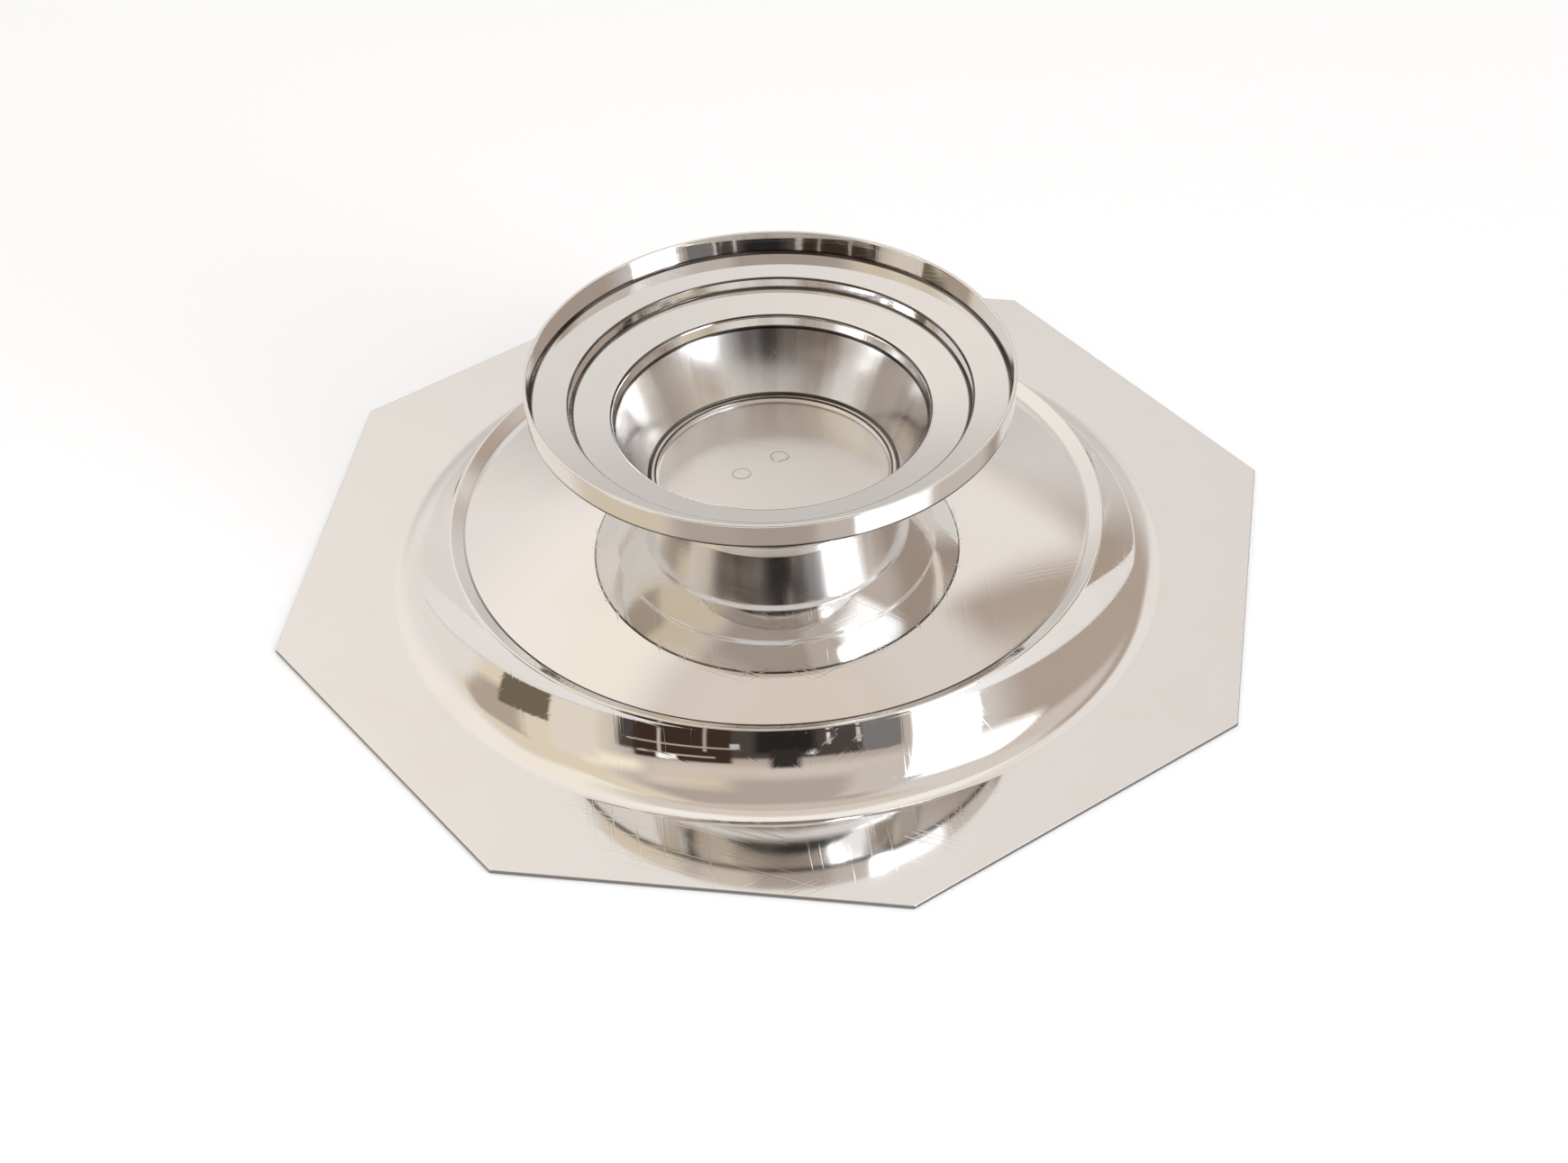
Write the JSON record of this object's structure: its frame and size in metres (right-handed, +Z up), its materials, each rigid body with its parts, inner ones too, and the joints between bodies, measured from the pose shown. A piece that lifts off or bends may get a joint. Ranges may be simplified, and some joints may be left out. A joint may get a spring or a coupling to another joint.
{
  "type": "footed octagonal dish",
  "caption": "Polished silver octagonal dish with a domed round well on a stepped round foot, stored upside down on its rim.",
  "frame": {"origin": "middle of the octagonal rim's show side, on the plane that the rim lies on", "axes": "+Z up the common axis, from the rim to the foot, with the dish upside down; +X and +Y square to two of the rim's straight sides"},
  "size_m": [0.26, 0.26, 0.066],
  "materials": {
    "dish_silver": "hand-polished silver with fine wiping scratches and a trace of warm tarnish",
    "foot_silver": "polished spun silver, with fine turning marks inside the cone",
    "solder": "silver solder, scraped smooth and slightly greyer than the sheet"
  },
  "bodies": {
    "root": {"octagonal_dish": "dish_silver", "foot": "foot_silver", "solder_seam": "solder"}
  },
  "joints": []
}
